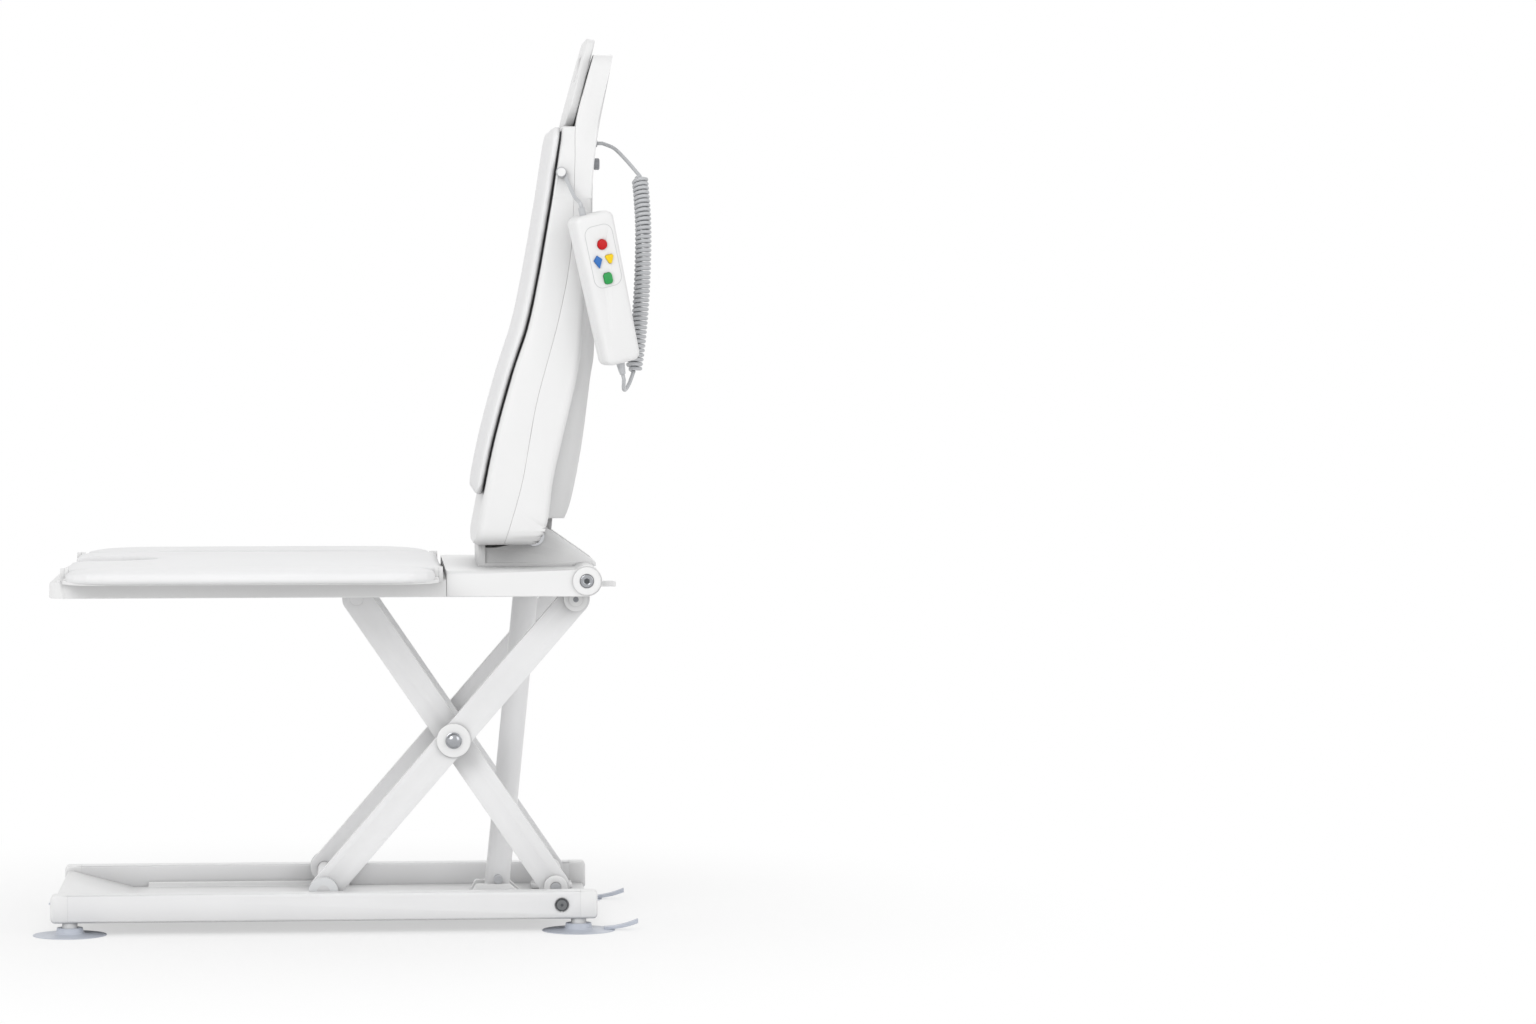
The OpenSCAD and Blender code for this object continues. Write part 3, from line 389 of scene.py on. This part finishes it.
def outer_edges(mesh, angle):
    """Indices of the edges at which the surface turns outwards by more than the angle."""
    faces = {}
    for face in mesh.polygons:
        for key in face.edge_keys:
            faces.setdefault(key, []).append(face)
    out = []
    for edge in mesh.edges:
        if len(faces.get(edge.key, [])) == 2:
            a, b = faces[edge.key]
            if a.normal.angle(b.normal, 0) > angle and (b.center - a.center).dot(a.normal) < 0:
                out.append(edge.index)
    return out


def softened(node, width, segments=3, share=None, flat=0.4, least=0):
    """A copy of a solid with its sharp edges rounded.

    share gives the part of the width by an edge's middle, and edges shorter than least stay as they are.
    """
    piece = copy_of(node, "_finished", flat)
    mesh = piece.data
    if share:
        weights = mesh.attributes.new("bevel_weight_edge", "FLOAT", "EDGE")
        for i in outer_edges(mesh, math.radians(SHARP_TURN)):
            ends = [mesh.vertices[v].co for v in mesh.edges[i].vertices]
            if (ends[0] - ends[1]).length >= least * MM:
                weights.data[i].value = share((ends[0] + ends[1]) / (2 * MM))
    apply_modifier(piece, "BEVEL", width=width * MM, segments=segments, limit_method="WEIGHT" if share else "ANGLE",
                   angle_limit=math.radians(SHARP_TURN), use_clamp_overlap=not share, loop_slide=not share)
    smooth_by_turn(piece)
    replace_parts(piece, node)
    finish_piece(piece, BODY_OF[node], FINISH[SLOT_OF[node]])


def line_at(line, height):
    """Where a line of the back lies at a height, both from the recline hinge."""
    points = curve_through([Vector(p) for p in line], 6)
    for a, b in zip(points, points[1:]):
        if height <= b.y:
            return a.x + (b.x - a.x) * (height - a.y) / (b.y - a.y)
    return points[-1].x


def off_seam(middle):
    """A rounding on the sides of the back, less towards its top, and a fine line where its shells meet."""
    near = middle - HINGE
    if near.z > BACK_ROUND_TOP:
        return 0.0
    if abs(near.x - line_at(SEAM_LINE, near.z)) < 1.5:
        return SEAM_SHARE
    if abs(near.y) <= (BACK_FLANK if near.z > BACK_ROUND_LOW else BACK_FLANK_LOW):
        return 0.0
    return min(1.0, max(BACK_ROUND_LEAST, (BACK_FADE_END - near.z) / BACK_FADE_OVER))


def on_rim(middle):
    """Only the outer rim of the handset's face and back is rounded."""
    near = handset_turn(3).transposed() @ (middle - HINGE - SET_MIDDLE)
    at_face = abs(abs(near.y) - SET_T / 2) < 0.1
    return 1.0 if at_face and (abs(near.x) > SET_RIM_X or abs(near.z) > SET_RIM_Z) else 0.04


def seat_rim(middle):
    """The outer edges of the seat pan are rounded, away from the ears of the flaps."""
    if min(abs(middle.x - ear) for ear in FLAP_EARS) < EAR_ROOM or middle.x > SEAT_REAR:
        return 0.0
    across, along = abs(middle.y) - SEAT_HALF + SEAT_CORNER, SEAT_FRONT + SEAT_CORNER - middle.x
    reach = math.hypot(across, along) if across > 0 and along > 0 else max(across, along)
    if reach < SEAT_CORNER - 1.5:
        return 0.0
    return 1.0 if middle.z > DECK_TOP - 0.3 else 0.35


def housing_rim(middle):
    """The long edges of the rear housing are rounded at its sides, as far as the boss and less below."""
    if abs(middle.y) < SEAT_HALF - 0.3 or middle.x > BOSS[0] - 20:
        return 0.0
    return 1.0 if middle.z > DECK_TOP else 0.3


def rail_rim(middle):
    """A rail and its end caps are rounded all round, with a fine line where they meet."""
    return SEAM_SHARE if abs(abs(middle.x) - CAP_X) < 0.5 else 1.0


# Pads
def plump(node, under):
    """The pad of a node, swelled by a short cloth simulation and held on the side that it lies on."""
    pad = copy_of(node, "_plump")
    if node.startswith("flap"):
        lap_over(pad)
    apply_modifier(pad, "REMESH", mode="VOXEL", voxel_size=PAD_VOXEL * MM)
    apply_modifier(pad, "SMOOTH", factor=0.5, iterations=2)
    apply_modifier(pad, "DISPLACE", strength=-PAD_SHRINK * MM, mid_level=0)
    swell(pad, under, PAD_SWELL * MM)
    apply_modifier(pad, "SMOOTH", factor=0.5, iterations=2)
    make_active(pad)
    bpy.ops.object.shade_smooth()
    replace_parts(pad, node)
    finish_piece(pad, BODY_OF[node], FINISH["soft_white"])


def lap_over(pad):
    """The outer part of a flap's pad laps out and down over the edge of its panel."""
    top = max(vertex.co.z for vertex in pad.data.vertices)
    middle = sum(FLAP_EARS) / 2 * MM
    for vertex in pad.data.vertices:
        out = min(max((abs(vertex.co.y) / MM - SEAT_HALF - FLAP_LAP_FROM) / FLAP_LAP_OVER, 0), 1)
        vertex.co.z = top - (top - vertex.co.z) * (1 + FLAP_LAP * out)
        vertex.co.x = middle + (vertex.co.x - middle) * (1 + FLAP_OUT * out)
        vertex.co.y *= 1 + FLAP_OUT * out


def swell(pad, under, cap):
    """Blow a pad up as a cloth under pressure, no point further than the cap, and apply the result."""
    scene = bpy.context.scene
    start = [vertex.co.copy() for vertex in pad.data.vertices]
    held = pad.vertex_groups.new(name="held")
    held.add([v.index for v in pad.data.vertices if v.normal.dot(Vector(under)) > 0.6], 1.0, "ADD")
    make_active(pad)
    cloth = pad.modifiers.new("swell", "CLOTH")
    cloth.settings.quality = 4
    cloth.settings.use_pressure = True
    cloth.settings.uniform_pressure_force = PAD_PRESSURE
    cloth.settings.effector_weights.gravity = 0
    cloth.settings.vertex_group_mass = held.name
    for step in range(1, PAD_FRAMES + 1):
        scene.frame_set(step)
    bpy.ops.object.modifier_apply(modifier=cloth.name)
    scene.frame_set(1)
    for vertex, place in zip(pad.data.vertices, start):
        move = vertex.co - place
        if move.length > cap:
            vertex.co = place + move * (cap / move.length)


# Fittings
def turned(name, profile, place, facing, slot, body, finish=None, sides=48):
    """A turned piece: rings of radius and height, in millimetres, stood on a place and facing a direction."""
    deselect()
    radius, height = profile[0]
    bpy.ops.mesh.primitive_circle_add(vertices=sides, radius=radius * MM, fill_type="NGON", enter_editmode=True)
    piece = bpy.context.view_layer.objects.active
    piece.name = name
    bpy.ops.mesh.select_all(action="SELECT")
    bpy.ops.transform.translate(value=(0, 0, height * MM))
    for (ra, za), (rb, zb) in zip(profile, profile[1:]):
        bpy.ops.mesh.extrude_region_move(TRANSFORM_OT_translate={"value": (0, 0, (zb - za) * MM)})
        bpy.ops.transform.resize(value=(rb / ra, rb / ra, 1))
    bpy.ops.mesh.select_all(action="SELECT")
    bpy.ops.mesh.normals_make_consistent(inside=False)
    bpy.ops.object.mode_set(mode="OBJECT")
    piece.location = Vector(place) * MM
    piece.rotation_euler = Vector(facing).to_track_quat("Z", "Y").to_euler()
    apply_place(piece)
    smooth_by_turn(piece, 35)
    return finish_piece(piece, body, FINISH[finish or slot])


def join(pieces):
    make_active(pieces[0])
    for piece in pieces:
        piece.select_set(True)
    bpy.ops.object.join()
    return bpy.context.view_layer.objects.active


def add_bolts():
    """Bolt heads, screws and plugs on both sides, as rings of radius and height in millimetres."""
    dome = [(9.7, 0), (9.7, 0.5), (9.2, 0.7), (9.1, 1.7), (8.5, 3.0), (7.4, 4.2), (5.8, 5.2), (3.8, 5.9), (1.8, 6.3),
            (0.1, 6.4)]
    screw = [(7.9, 0), (7.9, 1.6), (7.4, 2.1), (6.9, 2.2), (6.8, 3.0), (6.2, 3.5), (4.4, 3.6), (3.9, 3.3), (3.8, 1.8)]
    key_hole = [(3.5, 1.5), (3.5, 2.2), (2.4, 2.3)]
    pin_head = [(3.2, 0), (3.2, 0.4), (2.4, 0.8), (1.6, 0.8), (1.5, 0.3)]
    plug_face = [(6.0, -0.1), (5.9, 0.3), (2.9, 0.35), (2.7, -0.8)]
    plug_centre = [(2.2, -0.9), (2.2, -0.2), (1.4, 0.1)]
    bosses = []
    for side, name in ((-1, "left"), (1, "right")):
        out = (0, side, 0)
        crossing = (CROSSING[0], side * DISC_FACE, CROSSING[1])
        boss = (BOSS[0], side * SEAT_HALF, BOSS[1])
        pivot = (SEAT_PIVOT[0], side * SEAT_PIN_FACE, SEAT_PIVOT[1])
        plug = (PLUG[0], side * PLUG_FACE, PLUG[1])
        turned("centre_dome_" + name, dome, crossing, out, "chrome", "outer_arms")
        bosses.append(turned("boss_screw_" + name, screw, boss, out, "chrome", "seat"))
        turned("boss_socket_" + name, key_hole, boss, out, "dark_plug", "seat", sides=6)
        turned("pivot_screw_" + name, pin_head, pivot, out, "grey_plastic", "seat")
        turned("plug_face_" + name, plug_face, plug, out, "grey_plastic", "base", "plug_grey")
        turned("plug_centre_" + name, plug_centre, plug, out, "dark_plug", "base", sides=6)
    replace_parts(join(bosses), "boss_bolts")


def add_cups():
    """Thin flared cups; the rear ones have a tab that curves up."""
    profile = [(CUP_R - 1.5, 0.0), (CUP_R, 0.3), (CUP_R - 0.3, 0.9), (38, 1.3), (30, 1.6), (22, 2.0), (17.5, 2.6),
               (16, 4.0), (15.5, 6.5), (15, 9.0)]
    cups = []
    for side in (-1, 1):
        for end in (-1, 1):
            cups.append(turned("suction_cup", profile, (end * CUP_X, side * CUP_Y, 0), (0, 0, 1), "cup_rubber", "base",
                               sides=72))
        cups.append(cup_tab(side))
    cups = join(cups)
    cups.name = "suction_cups_thin"
    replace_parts(cups, "suction_cups")


def cup_tab(side):
    """The tab at the rim of a rear cup, with which it is peeled off."""
    deselect()
    bpy.ops.mesh.primitive_cube_add(size=1, enter_editmode=True)
    tab = bpy.context.view_layer.objects.active
    bpy.ops.mesh.select_all(action="SELECT")
    bpy.ops.transform.resize(value=(TAB_L * MM, TAB_W * MM, TAB_T * MM))
    bpy.ops.mesh.subdivide(number_cuts=10)
    bpy.ops.object.mode_set(mode="OBJECT")
    for vertex in tab.data.vertices:
        along = vertex.co.x / (TAB_L * MM) + 0.5
        vertex.co.y *= 1.15 - 0.3 * along
        vertex.co.z = vertex.co.z * (0.7 + 0.5 * along) + TAB_RISE * MM * along ** 2
    tab.location = ((CUP_X + CUP_R + 7) * MM, side * CUP_Y * MM, 2.8 * MM)
    apply_place(tab)
    apply_modifier(tab, "BEVEL", width=0.9 * MM, segments=3, limit_method="ANGLE")
    smooth_by_turn(tab)
    return finish_piece(tab, "base", FINISH["cup_rubber"])


def add_keypad_line():
    """The fine raised line round the keys of the handset."""
    deselect()
    bpy.ops.mesh.primitive_plane_add(size=1, enter_editmode=True)
    line = bpy.context.view_layer.objects.active
    line.name = "keypad_line"
    bpy.ops.mesh.select_all(action="SELECT")
    bpy.ops.transform.resize(value=(KEYS_W * MM, KEYS_H * MM, 1))
    bpy.ops.mesh.bevel(offset=KEYS_CORNER * MM, segments=10, affect="VERTICES")
    bpy.ops.mesh.inset(thickness=KEYS_LINE * MM)
    bpy.ops.mesh.delete(type="FACE")
    bpy.ops.object.mode_set(mode="OBJECT")
    upright = Matrix.Translation((0, -SET_T / 2 * MM, KEYS_UP * MM)) @ Matrix.Rotation(math.pi / 2, 4, "X")
    line.matrix_world = Matrix.Translation((HINGE + SET_MIDDLE) * MM) @ handset_turn(4) @ upright
    apply_place(line)
    apply_modifier(line, "SOLIDIFY", thickness=KEYS_RELIEF * MM, offset=0)
    finish_piece(line, "handset", FINISH["keypad_grey"])


def add_gap_shadow_sheet():
    """A dark sheet behind the back pad, a painted shadow that shows as a thin dark line in the gap between the pad and
    its shell.
    """
    deselect()
    bpy.ops.mesh.primitive_grid_add(x_subdivisions=48, y_subdivisions=12, size=1)
    shadow_sheet = bpy.context.view_layer.objects.active
    shadow_sheet.name = "back_pad_backing"
    for vertex in shadow_sheet.data.vertices:
        height = BACK_PAD_LOW + 6 + (vertex.co.x + 0.5) * (BACK_PAD_HIGH - BACK_PAD_LOW - 12)
        inset = max(0, GAP_SHADOW_CORNER - min(height - BACK_PAD_LOW, BACK_PAD_HIGH - height))
        half = BACK_PAD_HALF - GAP_SHADOW_INSET - inset ** 2 / 40
        vertex.co = (HINGE + Vector((line_at(FRONT_LINE, height) - 1.2, 2 * half * vertex.co.y, height))) * MM
    apply_modifier(shadow_sheet, "SOLIDIFY", thickness=0.8 * MM, offset=0)
    smooth_by_turn(shadow_sheet)
    finish_piece(shadow_sheet, "backrest", FINISH["dark_plug"])


def seen_rays(nodes, links):
    """1 for rays that see a surface straight, in a reflection or through clear material."""
    rays = nodes.new("ShaderNodeLightPath")
    seen = nodes.new("ShaderNodeMath")
    seen.operation = "MAXIMUM"
    through = nodes.new("ShaderNodeMath")
    through.operation = "MAXIMUM"
    links.new(rays.outputs["Is Camera Ray"], seen.inputs[0])
    links.new(rays.outputs["Is Glossy Ray"], seen.inputs[1])
    links.new(seen.outputs["Value"], through.inputs[0])
    links.new(rays.outputs["Is Transmission Ray"], through.inputs[1])
    return through.outputs["Value"]


def add_floor():
    """A pale floor that keeps the shade under the object and is white further away."""
    deselect()
    bpy.ops.mesh.primitive_plane_add(size=40, location=(0, 0, 0))
    floor = bpy.context.view_layer.objects.active
    floor.name = "studio_floor"
    material, nodes, links = new_material("pale floor")
    shader = nodes["Principled BSDF"]
    socket(shader, "Base Color", (0.93, 0.93, 0.93, 1))
    socket(shader, "Roughness", 0.8)
    socket(shader, "Specular IOR Level", 0.1)
    coords = nodes.new("ShaderNodeTexCoord")
    away = nodes.new("ShaderNodeVectorMath")
    away.operation = "LENGTH"
    fade = nodes.new("ShaderNodeMapRange")
    fade.interpolation_type = "SMOOTHSTEP"
    socket(fade, "From Min", 0.2)
    socket(fade, "From Max", 1.0)
    socket(fade, "To Min", 0.55)
    seen = seen_rays(nodes, links)
    share = nodes.new("ShaderNodeMath")
    share.operation = "MULTIPLY"
    white = nodes.new("ShaderNodeEmission")
    mix = nodes.new("ShaderNodeMixShader")
    links.new(coords.outputs["Object"], away.inputs[0])
    links.new(away.outputs["Value"], fade.inputs["Value"])
    links.new(fade.outputs["Result"], share.inputs[0])
    links.new(seen, share.inputs[1])
    links.new(share.outputs["Value"], mix.inputs["Fac"])
    links.new(shader.outputs["BSDF"], mix.inputs[1])
    links.new(white.outputs["Emission"], mix.inputs[2])
    links.new(mix.outputs["Shader"], nodes["Material Output"].inputs["Surface"])
    floor.data.materials.append(material)


def add_light():
    """A plain white world and three soft lamps."""
    world = bpy.data.worlds.new("studio")
    bpy.context.scene.world = world
    world.use_nodes = True
    nodes, links = world.node_tree.nodes, world.node_tree.links
    power = nodes.new("ShaderNodeMapRange")
    socket(power, "To Min", 0.7)
    socket(power, "To Max", 1.0)
    links.new(seen_rays(nodes, links), power.inputs["Value"])
    background = nodes["Background"]
    socket(background, "Color", (1, 1, 1, 1))
    links.new(power.outputs["Result"], background.inputs["Strength"])
    for name, (place, size, watts) in LAMPS.items():
        light = bpy.data.lights.new(name, "AREA")
        light.size = size
        light.energy = watts
        lamp = bpy.data.objects.new(name, light)
        lamp.location = place
        lamp.rotation_euler = (Vector(LAMP_TARGET) - Vector(place)).to_track_quat("-Z", "Y").to_euler()
        bpy.context.scene.collection.objects.link(lamp)


bpy.context.scene.view_settings.view_transform = "Standard"
add_camera()
add_cord()
for node, solid in NODES.items():
    solid.data.materials.clear()
    solid.data.materials.append(FINISH[SLOT_OF[node]])
for node, width in {
    "floor_pan": 1.5, "rear_pivot_brackets": 1.5,
    "foot_cradle": 1, "arm_inner_left": 2, "arm_inner_right": 2, "arm_outer_left": 2, "arm_outer_right": 2,
    "pedestal": 2.5, "side_bosses": 1.2, "handle_plate": 4, "release_lever": 1.5,
    "flap_panel_left": 1.5, "flap_panel_right": 1.5, "centre_discs": 1, "stop_button": 0.8, "blue_button": 0.7,
    "yellow_button": 0.7, "green_button": 0.8, "cord_stud": 2.2, "cord_gland": 1.2,
}.items():
    softened(node, width)
for node in ("rail_left", "rail_right", "rail_end_caps"):
    softened(node, 3, share=rail_rim)
softened("seat_pan", 5, segments=4, share=seat_rim)
softened("rear_housing", 5, segments=4, share=housing_rim)
for node in ("back_front_shell", "back_rear_shell"):
    softened(node, 8, segments=4, share=off_seam, flat=1, least=2.5)
for node in ("handset_front", "handset_rear"):
    softened(node, 6, segments=4, share=on_rim, flat=1)
for node, under in {"seat_pad": (0, 0, -1), "flap_pad_left": (0, 0, -1), "flap_pad_right": (0, 0, -1),
                    "back_pad": (0.97, 0, -0.22)}.items():
    plump(node, under)
for node in ("seat_pivot_pins", "hinge_yoke"):
    NODES[node].data.materials[0] = FINISH["white_plastic"]
for node in ("hang_strap", "cord_relief"):
    NODES[node].data.materials[0] = FINISH["cord_grey"]
add_bolts()
add_cups()
add_keypad_line()
# Painted shadow: a dark sheet in the gap between the back pad and its shell
add_gap_shadow_sheet()
add_floor()
add_light()
